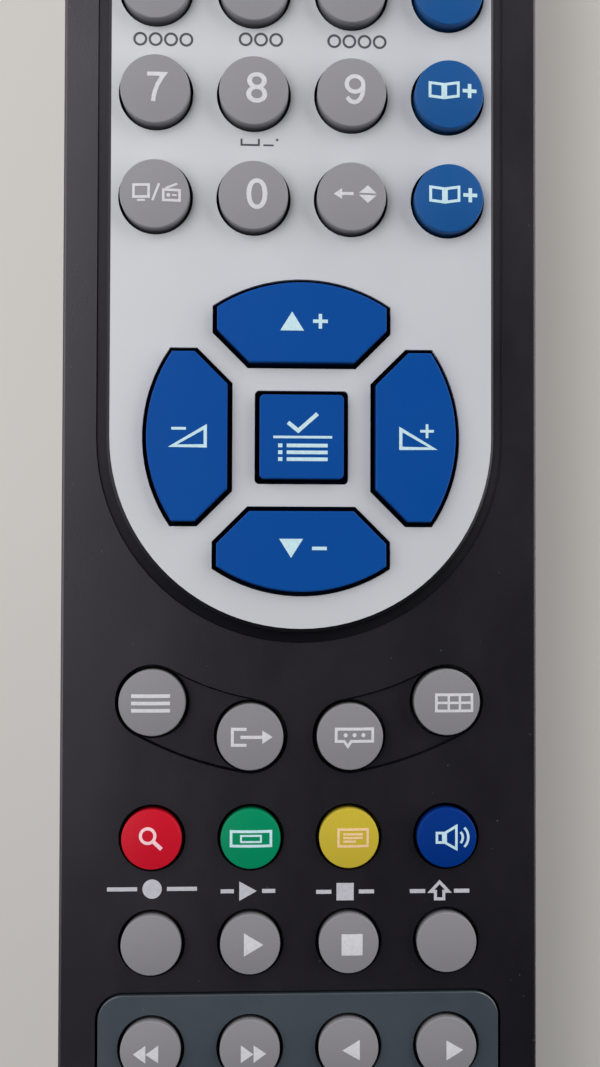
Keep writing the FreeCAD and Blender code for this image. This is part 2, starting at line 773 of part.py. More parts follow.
def make_keypad_mat():
    """The rubber sheet on the board, with a hole for each key's foot."""
    mat = new_body("keypad_mat")
    half = f"({OUTER_COLUMN} + mat_margin)"
    low, high = f"({LOWEST_ROW} - mat_margin)", f"({POWER_ROW} + mat_margin)"
    outline = rounded_box(f"-{half}", half, low, high, "mat_corner")
    pad(mat, "sheet", BOARD_TOP, "mat_thickness", [outline])
    smaller = "(mat_hole_gap - foot_inset)"
    feet = key_circles(round_keys(), smaller)
    pocket(mat, "feet", MAT_TOP, "mat_thickness", nav_loops("(nav_gap + foot_inset - mat_hole_gap)"), feet)
    bosses = [(x, y, "(boss_radius + mat_hole_gap)") for x, y in screw_places()[:2]]
    pocket(mat, "bosses", MAT_TOP, "mat_thickness", circles=bosses)
    keep(mat, "keypad_mat")


def make_circuit_board():
    """The board fills the case, and the four screws pass through it."""
    board = new_body("circuit_board")
    pad(board, "sheet", BOARD_LEVEL, "board_thickness", [case_loop("(case_wall + board_clearance)")])
    holes = [(x, y, "(screw_radius + screw_clearance)") for x, y in screw_places()]
    pocket(board, "screw_holes", BOARD_TOP, "board_thickness", circles=holes)
    keep(board, "circuit_board")


def make_board_components():
    """Chip, resonator, capacitor and resistors, soldered under the board between the posts."""
    chip = doc.addObject("Part::Box", "chip")
    bind(chip, Length="chip_width", Width="chip_length", Height="chip_height")
    place(chip, "-(chip_width / 2)", "-(chip_length / 2)", f"{BOARD_LEVEL} - chip_height")
    pieces = [chip]
    for name, step in (("resonator", 1), ("capacitor", 2)):
        can = doc.addObject("Part::Cylinder", name)
        bind(can, Radius="can_radius", Height="can_height")
        place(can, y=f"{step} * component_pitch", z=f"{BOARD_LEVEL} - can_height")
        pieces.append(can)
    for step in range(BOARD_RESISTORS):
        resistor = doc.addObject("Part::Box", f"resistor_{step}")
        bind(resistor, Length="resistor_length", Width="resistor_width", Height="resistor_height")
        place(resistor, "resistor_x", f"{step} * resistor_pitch", f"{BOARD_LEVEL} - resistor_height")
        pieces.append(resistor)
    compound("board_components", pieces)


def make_infrared_window():
    """A pane in the end wall, with a lip behind the wall."""
    window = new_body("infrared_window")
    half = "window_half_width"
    high = "(window_low + window_tall)"
    wall = f"({TOP_END} - case_wall)"
    block(window, "Additive", "pane", (f"-{half}", half), (wall, TOP_END), ("window_low", high))
    lip = ("(window_low - window_lip)", f"({high} + window_lip)")
    wide = f"({half} + window_lip)"
    deep = (f"({wall} - window_lip)", wall)
    block(window, "Additive", "lip", (f"-{wide}", wide), deep, lip)
    keep(window, "infrared_window")


def make_infrared_led():
    """The emitter hangs under the board and points at the window; its two leads rise to the board."""
    led = new_body("infrared_led_case")
    tall = "(led_length + led_radius)"
    profile = [
        ("0", "0"),
        ("led_radius", "0"),
        ("led_radius", "led_length", "led_radius"),
        ("0", tall),
    ]
    revolve(led, "turned", profile)
    led.Placement.Rotation = FreeCAD.Rotation(Vector(1, 0, 0), -90)
    back = f"({TOP_END} - case_wall - window_lip - window_gap - {tall})"
    axis = f"({BOARD_LEVEL} - window_gap - led_radius)"
    place(led, y=back, z=axis)
    pieces = [led]
    for name, middle in (("lead_left", "-led_lead_spread"), ("lead_right", "led_lead_spread")):
        lead = new_body(name)
        side = (f"({middle} - {LEAD_HALF})", f"({middle} + {LEAD_HALF})")
        along = (f"({back} - led_lead_reach)", back)
        block(lead, "Additive", "run", side, along, (f"({axis} - {LEAD_HALF})", f"({axis} + {LEAD_HALF})"))
        bend = (f"({back} - led_lead_reach)", f"({back} - led_lead_reach + led_lead)")
        block(lead, "Additive", "rise", side, bend, (f"({axis} - {LEAD_HALF})", BOARD_LEVEL))
        pieces.append(lead)
    compound("infrared_led", pieces)


def make_battery(name, x, y, quarter_turns):
    """An AAA cell that starts with its flat end at y and points along +Y (1 turn) or -Y (3 turns)."""
    cell = new_body(name)
    shoulder = "(battery_length - battery_nub_length)"
    profile = [
        ("0", "0"),
        ("(battery_radius - battery_edge)", "0"),
        ("battery_radius", "battery_edge"),
        ("battery_radius", f"({shoulder} - battery_edge)"),
        ("(battery_radius - battery_edge)", shoulder),
        ("battery_nub_radius", shoulder),
        ("battery_nub_radius", "battery_length"),
        ("0", "battery_length"),
    ]
    revolve(cell, "turned", profile)
    cell.Placement.Rotation = FreeCAD.Rotation(Vector(1, 0, 0), -90 * quarter_turns)
    place(cell, x, y, BATTERY_AXIS)
    keep(cell, name)


def contact_plate(name, x_low, x_high, y_low):
    """A contact's flat plate against an end wall of the bay."""
    plate = new_body(name)
    z = (f"({BATTERY_AXIS} - contact_half_width)", f"({BATTERY_AXIS} + contact_half_width)")
    block(plate, "Additive", "plate", (x_low, x_high), (y_low, f"({y_low} + contact_thickness)"), z)
    return plate


def make_contacts():
    """The link contact joins the cells at the low end; the others rise through the roof to the board."""
    left, right = contact_places()["positive"], contact_places()["negative"]
    link = contact_plate(
        "link_plate", f"({left} - contact_half_width)", f"({right} + contact_half_width)", BAY_LOW
    )
    low_coil = coil("link_coil", left, f"({BAY_LOW} + contact_thickness)", 1)
    compound("link_contact", [link, low_coil])
    high_plate = f"({BAY_HIGH} - contact_thickness)"
    plates = {}
    for name, x in contact_places().items():
        plate = contact_plate(
            f"{name}_plate", f"({x} - contact_half_width)", f"({x} + contact_half_width)", high_plate
        )
        tab = (f"({x} - contact_tab / 2)", f"({x} + contact_tab / 2)")
        tall = (f"({BATTERY_AXIS} + contact_half_width)", BOARD_LEVEL)
        block(plate, "Additive", "tab", tab, (high_plate, BAY_HIGH), tall)
        plates[name] = plate
    keep(plates["positive"], "positive_contact")
    high_coil = coil("negative_coil", right, high_plate, 3)
    compound("negative_contact", [plates["negative"], high_coil])


def make_screws():
    """Four identical cross-head screws, driven from the back into the top case's bosses."""
    screws = []
    for index, (x, y) in enumerate(screw_places(), start=1):
        screw = new_body(f"screw_{index}")
        profile = [
            ("0", f"({SCREW_SEAT} - screw_head_height)"),
            ("screw_head_radius", f"({SCREW_SEAT} - screw_head_height)"),
            ("screw_head_radius", SCREW_SEAT),
            ("screw_radius", SCREW_SEAT),
            ("screw_radius", f"({SCREW_TIP} - screw_radius)"),
            ("0", SCREW_TIP),
        ]
        revolve(screw, "turned", profile)
        reach = "screw_slot_reach"
        depth = (f"({SCREW_SEAT} - screw_head_height)", f"({SCREW_SEAT} - screw_head_height / 2)")
        narrow = "(screw_slot / 2)"
        block(screw, "Subtractive", "slot_across", (f"-{reach}", reach), (f"-{narrow}", narrow), depth)
        block(screw, "Subtractive", "slot_along", (f"-{narrow}", narrow), (f"-{reach}", reach), depth)
        place(screw, x, y)
        screws.append(screw)
    compound("case_screws", screws)


def make_all():
    make_top_case()
    make_bottom_case()
    make_battery_door()
    make_face_plate()
    make_transport_plate()
    make_keypad_mat()
    make_circuit_board()
    make_board_components()
    make_infrared_window()
    make_infrared_led()
    left, right = contact_places()["positive"], contact_places()["negative"]
    make_battery("battery_left", left, f"({BAY_LOW} + contact_thickness + spring_length)", 1)
    make_battery("battery_right", right, f"({BAY_HIGH} - contact_thickness - spring_length)", 3)
    make_contacts()
    make_screws()
    for name, family, x, y in round_keys():
        make_round_key(name, family, x, y)
    for name, turns in NAV_TURNS.items():
        make_flat_key(name, lambda inset, turns=turns: nav_loop(turns, inset))
    make_flat_key("ok", ok_loop)


def check_all():
    """Stops if any object failed, any cut or pad changed nothing, or a sub-part isn't sound."""
    for item in doc.Objects:
        if "Invalid" in item.State or "Error" in item.State:
            raise RuntimeError(f"{item.Name} failed: {item.State}")
    for owner in doc.findObjects("PartDesign::Body"):
        before = 0.0
        for feature in owner.Group:
            if not feature.isDerivedFrom("PartDesign::Feature"):
                continue
            after = feature.Shape.Volume
            if abs(after - before) < SMALLEST_CHANGE:
                raise RuntimeError(f"{feature.Name} changes nothing")
            before = after
    for item in parts:
        if item.Shape.isNull() or not item.Shape.isValid() or not item.Shape.Solids:
            raise RuntimeError(f"{item.Label} is not a sound solid")


def write_all():
    os.makedirs(FOLDER, exist_ok=True)
    for item in parts:
        item.Shape.exportStep(os.path.join(FOLDER, f"{item.Label}.step"))
    print(f"{len(parts)} sub-parts written")


fill_sheet()
make_all()
doc.recompute()
check_all()
write_all()
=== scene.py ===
"""Looks of a remote-control handset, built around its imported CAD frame.

The scene is in metres. Lengths that belong to the object or its marks are written in millimetres.
"""

import json
import math

import bmesh
import bpy
from mathutils import Euler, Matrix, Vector


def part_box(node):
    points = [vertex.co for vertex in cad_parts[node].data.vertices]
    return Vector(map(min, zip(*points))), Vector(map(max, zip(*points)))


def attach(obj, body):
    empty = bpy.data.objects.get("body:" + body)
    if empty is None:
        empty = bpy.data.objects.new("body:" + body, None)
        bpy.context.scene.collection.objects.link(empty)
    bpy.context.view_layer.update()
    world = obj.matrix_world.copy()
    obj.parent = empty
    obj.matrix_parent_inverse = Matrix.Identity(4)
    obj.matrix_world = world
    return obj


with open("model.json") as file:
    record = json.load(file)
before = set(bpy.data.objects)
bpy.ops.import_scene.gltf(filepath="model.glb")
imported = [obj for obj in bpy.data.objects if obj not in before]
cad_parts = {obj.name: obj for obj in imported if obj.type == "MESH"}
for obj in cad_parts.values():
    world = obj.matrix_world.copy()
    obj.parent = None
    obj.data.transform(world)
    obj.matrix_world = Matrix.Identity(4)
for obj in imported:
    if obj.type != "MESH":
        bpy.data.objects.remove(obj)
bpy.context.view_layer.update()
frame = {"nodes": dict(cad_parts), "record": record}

MM = 0.001
ROOT = "handset"

# The black case, as in the CAD: the levels of its face, of the floor of the groove beside the
# plate and of the belts' fine lines, the ends of that groove, and how far out the flanks begin
FACE = 21.0
GROOVE_FLOOR = 20.8
LINE_FLOOR = 20.3
GROOVE_ENDS = (-6.6, 96.0)
FLANK = 24.5

# ---------------------------------------------------------------- camera
# A telephone held flat over the handset. The frame is 600 x 1067, and FOCAL is in its pixels.
FRAME_TALL = 1067
FOCAL = 1000.0
SENSOR = 36.0
CAMERA_AT = (-3.897, 4.208, 128.134)  # millimetres
CAMERA_TURN = (0.886, -2.050, 0.179)  # degrees from straight down

camera_data = bpy.data.cameras.new("camera")
camera_data.type = "PERSP"
camera_data.sensor_fit = "AUTO"
camera_data.sensor_width = SENSOR
camera_data.lens = FOCAL / FRAME_TALL * SENSOR
camera_data.clip_start = 0.005
camera = bpy.data.objects.new("camera", camera_data)
camera.location = Vector(CAMERA_AT) * MM
camera.rotation_euler = Euler([math.radians(angle) for angle in CAMERA_TURN], "XYZ")
bpy.context.scene.collection.objects.link(camera)
bpy.context.scene.camera = camera

# ---------------------------------------------------------------- colours


def srgb(red, green, blue):
    """A screen colour, 0 to 255, as the linear colour that a shader takes."""
    linear = []
    for value in (red, green, blue):
        part = value / 255
        linear.append(part / 12.92 if part <= 0.04045 else ((part + 0.055) / 1.055) ** 2.4)
    return (*linear, 1.0)


def scaled(colour, factor):
    """The colour made lighter or darker by a factor."""
    return (*[min(1.0, value * factor) for value in colour[:3]], 1.0)


# ---------------------------------------------------------------- materials


class Shader:
    """A node material being put together."""

    def __init__(self, name):
        self.material = bpy.data.materials.new(name)
        self.material.use_nodes = True
        self.tree = self.material.node_tree
        self.tree.nodes.clear()
        self.surface = self.tree.nodes.new("ShaderNodeBsdfPrincipled")
        output = self.tree.nodes.new("ShaderNodeOutputMaterial")
        self.link(self.surface.outputs["BSDF"], output.inputs["Surface"])
        self.place = self.tree.nodes.new("ShaderNodeTexCoord").outputs["Object"]

    def link(self, source, target):
        self.tree.links.new(source, target)

    def noise(self, scale, detail=3.0, rough=0.55, stretch=None):
        """Clouds or grain. stretch is a pair: the scale along, and the turn about, each axis."""
        node = self.tree.nodes.new("ShaderNodeTexNoise")
        node.inputs["Scale"].default_value = scale
        node.inputs["Detail"].default_value = detail
        node.inputs["Roughness"].default_value = rough
        source = self.place
        if stretch:
            mapping = self.tree.nodes.new("ShaderNodeMapping")
            mapping.inputs["Scale"].default_value = stretch[0]
            mapping.inputs["Rotation"].default_value = stretch[1]
            self.link(source, mapping.inputs["Vector"])
            source = mapping.outputs["Vector"]
        self.link(source, node.inputs["Vector"])
        return node.outputs["Fac"]

    def cells(self, scale):
        """The distance to the middle of the nearest of many scattered cells."""
        node = self.tree.nodes.new("ShaderNodeTexVoronoi")
        node.inputs["Scale"].default_value = scale
        self.link(self.place, node.inputs["Vector"])
        return node.outputs["Distance"]

    def band(self, source, low, high, to_low=0.0, to_high=1.0):
        """The source from low to high, spread over to_low to to_high and held at both ends."""
        node = self.tree.nodes.new("ShaderNodeMapRange")
        limits = {"From Min": low, "From Max": high, "To Min": to_low, "To Max": to_high}
        for socket, value in limits.items():
            node.inputs[socket].default_value = value
        self.link(source, node.inputs["Value"])
        return node.outputs["Result"]

    def times(self, first, second):
        return self.maths("MULTIPLY", first, second)

    def maths(self, operation, first, second):
        node = self.tree.nodes.new("ShaderNodeMath")
        node.operation = operation
        for socket, value in zip(node.inputs, (first, second)):
            if isinstance(value, (int, float)):
                socket.default_value = value
            else:
                self.link(value, socket)
        return node.outputs[0]

    def axis(self, name):
        node = self.tree.nodes.new("ShaderNodeSeparateXYZ")
        self.link(self.place, node.inputs[0])
        return node.outputs[name]

    def mix(self, factor, first, second):
        """The first colour where the factor is 0, the second where it is 1."""
        node = self.tree.nodes.new("ShaderNodeMix")
        node.data_type = "RGBA"
        self.link(factor, node.inputs["Factor"])
        colour_a, colour_b, result = node.inputs[6], node.inputs[7], node.outputs[2]
        for socket, value in ((colour_a, first), (colour_b, second)):
            if isinstance(value, tuple):
                socket.default_value = value
            else:
                self.link(value, socket)
        return result

    def bump(self, height, depth_mm):
        node = self.tree.nodes.new("ShaderNodeBump")
        node.inputs["Strength"].default_value = 1.0
        node.inputs["Distance"].default_value = depth_mm * MM
        self.link(height, node.inputs["Height"])
        self.link(node.outputs["Normal"], self.surface.inputs["Normal"])

    def value(self, socket, value):
        self.surface.inputs[socket].default_value = value

    def colour(self, source):
        self.link(source, self.surface.inputs["Base Color"])

    def roughness(self, source):
        self.link(source, self.surface.inputs["Roughness"])


# Painted shade: the case's colour is darkened in its grooves, where shade falls.
GROOVE_SHADE_SHARE = 0.6  # how much of the case's colour is left in its grooves


def moulded(name, colour, rough=0.5, spread=0.06, vary=0.06, grain=0.16, grain_depth=0.012,
            dust=0.0, scratches=0.0, specular=0.5, painted_shade_below=None, grooves=None, tint=None):
    """Moulded or painted plastic: spark-eroded grain, cloudy tone, dust specks and fine scuffs.

    painted_shade_below is painted shade, (low, high, share): under the low level the colour falls
    to that share, and over the high one it is whole. grooves is a function that says where the
    surface lies in a groove, where the colour is darkened as painted shade and the gloss changes by
    place as painted
    shade and sheen: see case_painted_light. tint colours the gloss.
    """
    shader = Shader(name)
    cloud = shader.noise(55.0, 4.0)
    fine = shader.noise(1.0 / (grain * MM), 2.0, 0.6)
    dim, bright = scaled(colour, 1 - vary), scaled(colour, 1 + vary)
    tone = shader.mix(shader.band(cloud, 0.3, 0.7), dim, bright)
    tone = shader.mix(shader.band(fine, 0.25, 0.75, 0.0, 0.35), tone, scaled(colour, 1 + 2 * vary))
    if dust:
        speck = shader.band(shader.cells(1500.0), 0.15, 0.09)
        patch = shader.band(shader.noise(700.0, 2.0), 0.64, 0.70)
        tone = shader.mix(shader.times(shader.times(speck, patch), dust), tone, srgb(150, 148, 146))
    if scratches:
        along = shader.noise(900.0, 2.0, 0.5, ((1.0, 0.035, 1.0), (0, 0, 0.35)))
        across = shader.noise(700.0, 2.0, 0.5, ((0.03, 1.0, 1.0), (0, 0, -0.2)))
        along, across = shader.band(along, 0.70, 0.76), shader.band(across, 0.72, 0.78)
        line = shader.maths("MAXIMUM", along, across)
        tone = shader.mix(shader.times(line, scratches), tone, srgb(120, 120, 124))
    # Painted shade: the colour falls to a share of itself below a level, deep in an opening.
    if painted_shade_below:
        low, high, share = painted_shade_below
        lit = shader.band(shader.axis("Z"), low * MM, high * MM)
        tone = shader.mix(lit, scaled(colour, share), tone)
    if grooves:
        # Painted light: grooves gives the open face, outside which the colour is darkened as
        # painted shade, and the gloss that the grooves and the face get by place, as painted shade
        # and sheen.
        open_face, painted_groove_gloss, polish = grooves(shader)
        tone = shader.mix(open_face, scaled(colour, GROOVE_SHADE_SHARE), tone)
    shader.colour(tone)
    smear = shader.noise(130.0, 3.0, 0.6, ((1.0, 0.6, 1.0), (0, 0, 0.7)))
    shader.roughness(shader.band(smear, 0.3, 0.7, rough - spread, rough + spread))
    shader.value("Specular IOR Level", specular)
    if grooves:
        # Painted shade and sheen: the gloss is set by place, on the face and in the grooves.
        in_groove = shader.band(open_face, 1.0, 0.0)
        gloss = shader.maths("ADD", shader.times(open_face, polish), shader.times(painted_groove_gloss, in_groove))
        gloss = shader.times(gloss, specular)
        shader.link(gloss, shader.surface.inputs["Specular IOR Level"])
    if tint:
        shader.value("Specular Tint", (*tint, 1.0))
    shader.bump(fine, grain_depth)
    return shader.material


def case_painted_light(shader):
    """Where the case's face is open, and how its gloss changes.

    Returns 1 on the open face and 0 in its grooves, which moulded darkens as painted shade; the
    share of the gloss that the grooves keep, as painted shade towards their lower end and painted
    sheen on the right; and a change to the face's own gloss, as painted light: a little more at its
    lower left, and less at its lower right.
    """
    across, along, height = shader.axis("X"), shader.axis("Y"), shader.axis("Z")
    above_lines = shader.band(height, (LINE_FLOOR + 0.15) * MM, (LINE_FLOOR + 0.22) * MM)
    above_floor = shader.band(height, (GROOVE_FLOOR + 0.04) * MM, (GROOVE_FLOOR + 0.1) * MM)
    lower, upper = GROOVE_ENDS
    past_groove = shader.maths("MAXIMUM", shader.band(along, lower * MM, (lower - 0.2) * MM),
                               shader.band(along, upper * MM, (upper + 0.2) * MM))
    flank = shader.band(shader.maths("ABSOLUTE", across, 0.0), FLANK * MM, (FLANK + 0.05) * MM)
    out_of_groove = shader.maths("MAXIMUM", above_floor, past_groove)
    on_face = shader.maths("MINIMUM", above_lines, out_of_groove)
    # Painted shade and sheen: the grooves keep less gloss towards their lower end, and more on the
    # right.
    painted_groove_gloss = shader.times(shader.band(along, -2 * MM, 12 * MM, 0.24, 0.57),
                        shader.band(across, 2 * MM, 16 * MM, 1.0, 2.8))
    # Painted light: the face's gloss, a little more at its lower left and less at its lower right.
    painted_face_gloss_shift = shader.times(shader.band(along, 20 * MM, -20 * MM, 0.0, 1.0),
                        shader.band(across, -20 * MM, 16 * MM, 0.12, -0.2))
    return shader.maths("MAXIMUM", on_face, flank), painted_groove_gloss, shader.maths("ADD", painted_face_gloss_shift, 1.0)


def rubber(name, colour):
    """Silicone rubber: dull, with a fine powdery bloom."""
    shader = Shader(name)
    bloom = shader.noise(260.0, 4.0, 0.65)
    shader.colour(shader.mix(shader.band(bloom, 0.35, 0.7), colour, scaled(colour, 1.6)))
    shader.roughness(shader.band(bloom, 0.3, 0.7, 0.75, 0.92))
    shader.bump(shader.noise(3500.0, 2.0), 0.01)
    return shader.material


def metal(name, colour, rough, brushed=(1.0, 0.05, 1.0), tarnish=0.25):
    """Plated steel: brushed along one direction and a little tarnished."""
    shader = Shader(name)
    lines = shader.noise(2200.0, 3.0, 0.6, (brushed, (0, 0, 0)))
    stain = shader.band(shader.noise(240.0, 4.0), 0.5, 0.75, 0.0, tarnish)
    shader.colour(shader.mix(stain, colour, scaled(colour, 0.45)))
    shader.value("Metallic", 1.0)
    shader.roughness(shader.band(lines, 0.3, 0.7, rough - 0.08, rough + 0.1))
    shader.bump(lines, 0.004)
    return shader.material


def board_finish():
    """Solder mask over copper tracks, with bare pads between them."""
    shader = Shader("board-mask")
    track = shader.noise(340.0, 0.0, 0.5, ((1.0, 0.12, 1.0), (0, 0, 0)))
    lines = shader.band(track, 0.52, 0.53)
    mask = shader.mix(lines, srgb(16, 74, 42), srgb(34, 110, 62))
    pads = shader.band(shader.cells(190.0), 0.17, 0.15)
    shader.colour(shader.mix(pads, mask, srgb(176, 152, 86)))
    shader.roughness(shader.band(pads, 0.0, 1.0, 0.32, 0.42))
    shader.bump(track, 0.02)
    return shader.material


def component_finish():
    """Black epoxy packages, a little cloudy."""
    shader = Shader("epoxy")
    cloud = shader.noise(700.0, 3.0)
    shader.colour(shader.mix(shader.band(cloud, 0.35, 0.65), srgb(20, 20, 22), srgb(38, 38, 40)))
    shader.roughness(shader.band(cloud, 0.3, 0.7, 0.4, 0.6))
    shader.bump(cloud, 0.01)
    return shader.material


CELL_MIDDLE = -64.7  # along the handset


def cell_finish():
    """A printed battery sleeve: pale in the middle, dark towards both ends, and bare steel ends."""
    shader = Shader("cell-sleeve")
    along = shader.axis("Y")
    cloud = shader.noise(90.0, 3.0)
    pale = shader.mix(shader.band(cloud, 0.3, 0.7), srgb(188, 190, 190), srgb(206, 208, 208))
    out = shader.maths("ABSOLUTE", shader.maths("ADD", along, -CELL_MIDDLE * MM), 0.0)
    middle = shader.band(out, 13.1 * MM, 13.0 * MM)
    ends = shader.band(out, 21.6 * MM, 21.8 * MM)
    sleeve = shader.mix(middle, srgb(46, 52, 60), pale)
    shader.colour(shader.mix(ends, sleeve, srgb(170, 168, 164)))
    shader.link(ends, shader.surface.inputs["Metallic"])
    shader.roughness(shader.band(cloud, 0.3, 0.7, 0.24, 0.36))
    shader.bump(shader.noise(1200.0, 2.0), 0.004)
    return shader.material


def window_finish():
    """Dark plastic that lets infrared through: nearly black with a deep red tint and a polish."""
    shader = Shader("dark-window")
    cloud = shader.noise(120.0, 3.0)
    shader.colour(shader.mix(shader.band(cloud, 0.3, 0.7), srgb(24, 8, 12), srgb(38, 12, 18)))
    shader.roughness(shader.band(shader.noise(500.0, 3.0), 0.3, 0.7, 0.08, 0.2))
    shader.value("Transmission Weight", 0.15)
    shader.value("IOR", 1.49)
    shader.bump(shader.noise(900.0, 2.0), 0.003)
    return shader.material


def clear_finish():
    """Water-clear epoxy of the emitter, with a faint violet tint."""
    shader = Shader("clear-epoxy")
    cloud = shader.noise(600.0, 2.0)
    violet, clear = srgb(196, 192, 214), srgb(222, 220, 236)
    shader.colour(shader.mix(shader.band(cloud, 0.3, 0.7), violet, clear))
    shader.roughness(shader.band(cloud, 0.3, 0.7, 0.06, 0.14))
    shader.value("Transmission Weight", 0.8)
    shader.value("IOR", 1.52)
    shader.bump(cloud, 0.003)
    return shader.material


def printed(name, colour, rough=0.55, gloss=0.4):
    """Silk-screen ink, which covers a little unevenly."""
    shader = Shader(name)
    cover = shader.noise(2600.0, 3.0, 0.6)
    shader.colour(shader.mix(shader.band(cover, 0.35, 0.6), scaled(colour, 0.90), colour))
    shader.roughness(shader.band(cover, 0.3, 0.7, rough - 0.06, rough + 0.08))
    shader.value("Specular IOR Level", gloss)
    shader.bump(cover, 0.006)
    return shader.material


BLACK = srgb(15, 14, 20)
CASE = moulded("case-black", BLACK, 0.41, 0.04, 0.08, dust=0.2, specular=0.7,
               grooves=case_painted_light, tint=(0.93, 0.87, 1.0))
CASE_LOW = moulded("case-black-back", BLACK, 0.58, 0.05, 0.08, grain=0.3, grain_depth=0.03,
                   dust=0.3, scratches=0.2, specular=0.4)
DOOR = moulded("door-black", srgb(36, 35, 40), 0.56, 0.05, 0.08, grain=0.3, grain_depth=0.03,
               dust=0.3, scratches=0.25, specular=0.4)
PLATE = moulded("plate-silver-white", srgb(194, 197, 203), 0.42, 0.06, 0.012, grain=0.12,
                grain_depth=0.004, specular=0.9)
PANEL = moulded("panel-slate", srgb(55, 64, 73), 0.42, 0.05, 0.05, dust=0.2, specular=0.9)
# Keys stand at three levels. Painted shade: their walls are painted darker deep in the openings,
# given as (low level, high level, share): see painted_shade_below in moulded.
KEY_WALL_SHADE = {"number": (22.8, 23.62, 0.45), "nav": (22.8, 23.3, 0.3), "low": (20.95, 21.3, 0.3)}
# (slot, level): colour, roughness, specular level
FINISH = {
    ("grey_key", "number"): (srgb(138, 137, 142), 0.55, 0.25),
    # The low grey keys take a darker copy of the number keys' grey, as painted shade.
    ("grey_key", "low"): (srgb(131, 130, 135), 0.55, 0.25),
    ("blue_key", "number"): (srgb(8, 78, 142), 0.5, 0.25),
    ("blue_key", "nav"): (srgb(0, 70, 148), 0.5, 0.12),
    ("red_key", "low"): (srgb(190, 18, 40), 0.45, 0.14),
    ("green_key", "low"): (srgb(0, 131, 90), 0.45, 0.12),
    ("yellow_key", "low"): (srgb(189, 169, 53), 0.45, 0.14),
    ("navy_key", "low"): (srgb(0, 47, 124), 0.45, 0.1),
}
INK_WHITE = printed("ink-white", srgb(209, 209, 214))
INK_PALE = printed("ink-pale-cyan", srgb(196, 226, 236))
INK_LABEL = printed("ink-light-grey", srgb(188, 188, 198))
INK_DARK = printed("ink-dark-grey", srgb(74, 77, 84))
INK_ROSE = printed("ink-rose-white", srgb(242, 204, 212))
INK_PEACH = printed("ink-peach", srgb(238, 200, 156))


def dress(node, material):
    """Gives a CAD node its material in every slot."""
    mesh = frame["nodes"][node].data
    if not mesh.materials:
        mesh.materials.append(material)
    for index in range(len(mesh.materials)):
        mesh.materials[index] = material


SLOT_OF = {part["node"]: part["material_slot"] for part in frame["record"]["subparts"]}

NUMBER_KEYS = ["key_%d" % digit for digit in range(10)] + [
    "key_power", "key_mute", "key_tv_radio", "key_recall", "key_favourite", "key_zoom",
    "key_page_up", "key_page_down"]
NAV_KEYS = ["key_channel_up", "key_channel_down", "key_volume_up", "key_volume_down", "key_ok"]

NODE_FINISH = {
    "top_case": CASE,
    "bottom_case": CASE_LOW,
    "battery_door": DOOR,
    "face_plate": PLATE,
    "transport_plate": PANEL,
    "keypad_mat": rubber("mat-rubber", srgb(40, 40, 43)),
    "circuit_board": board_finish(),
    "board_components": component_finish(),
    "infrared_window": window_finish(),
    "infrared_led": clear_finish(),
    "battery_left": cell_finish(),
    "battery_right": cell_finish(),
    "link_contact": metal("contact-nickel", srgb(196, 194, 188), 0.3),
    "negative_contact": metal("contact-nickel-b", srgb(196, 194, 188), 0.32),
    "positive_contact": metal("contact-nickel-c", srgb(198, 196, 188), 0.28),
    "case_screws": metal("screw-zinc", srgb(120, 118, 116), 0.35, (1.0, 1.0, 0.1), 0.4),
}
for node, material in NODE_FINISH.items():
    dress(node, material)

key_finish = {}
for node in frame["nodes"]:
    if not node.startswith("key_"):
        continue
    slot = SLOT_OF[node]
    level = "number" if node in NUMBER_KEYS else "nav" if node in NAV_KEYS else "low"
    if (slot, level) not in key_finish:
        colour, rough, specular = FINISH[slot, level]
        key_finish[slot, level] = moulded(
            "%s-%s" % (slot.replace("_", "-"), level), colour, rough, 0.05, 0.03, grain=0.14,
            grain_depth=0.006, specular=specular, painted_shade_below=KEY_WALL_SHADE[level])
    dress(node, key_finish[slot, level])

# ---------------------------------------------------------------- flat marks
# A mark is a list of faces, each a list of (x, y) in millimetres about the mark's middle.


def moved(faces, dx, dy):
    return [[(x + dx, y + dy) for x, y in face] for face in faces]


def box(x0, y0, x1, y1):
    return [[(x0, y0), (x1, y0), (x1, y1), (x0, y1)]]


def shape(*points):
    """One filled face through the points."""
    return [list(points)]


def arc(cx, cy, radius, start, end, steps=16):
    """Points along an arc, from one angle in degrees to another."""
    turn = [math.radians(start + (end - start) * step / steps) for step in range(steps + 1)]
    return [(cx + radius * math.cos(t), cy + radius * math.sin(t)) for t in turn]


def stroke(points, width, closed=False):
    """A band of that width along the points, with mitred corners."""
    points = [Vector(point) for point in points]
    count = len(points)
    left, right = [], []
    for index, point in enumerate(points):
        before = points[index - 1] if index or closed else None
        after = points[(index + 1) % count] if index < count - 1 or closed else None
        first = (after - point if before is None else point - before).normalized()
        second = first if after is None else (after - point).normalized()
        side_a, side_b = Vector((-first.y, first.x)), Vector((-second.y, second.x))
        side = (side_a + side_b).normalized()
        reach = width / 2 / max(0.35, side.dot(side_a))
        left.append(point + side * reach)
        right.append(point - side * reach)
    faces = []
    for index in range(count if closed else count - 1):
        follow = (index + 1) % count
        corners = (right[index], right[follow], left[follow], left[index])
        faces.append([tuple(corner) for corner in corners])
    return faces


def ring(cx, cy, radius, width, steps=40):
    return stroke(arc(cx, cy, radius, 0, 360, steps)[:-1], width, closed=True)


def disc(cx, cy, radius, steps=28):
    return [arc(cx, cy, radius, 0, 360, steps)[:-1]]


def frame_box(x0, y0, x1, y1, width):
    """A rectangle's outline."""
    return stroke([(x0, y0), (x1, y0), (x1, y1), (x0, y1)], width, closed=True)


def plus(size, width, cx=0.0, cy=0.0):
    half, thin = size / 2, width / 2
    points = [(-thin, -half), (thin, -half), (thin, -thin), (half, -thin), (half, thin),
              (thin, thin), (thin, half), (-thin, half), (-thin, thin), (-half, thin),
              (-half, -thin), (-thin, -thin)]
    return moved([points], cx, cy)


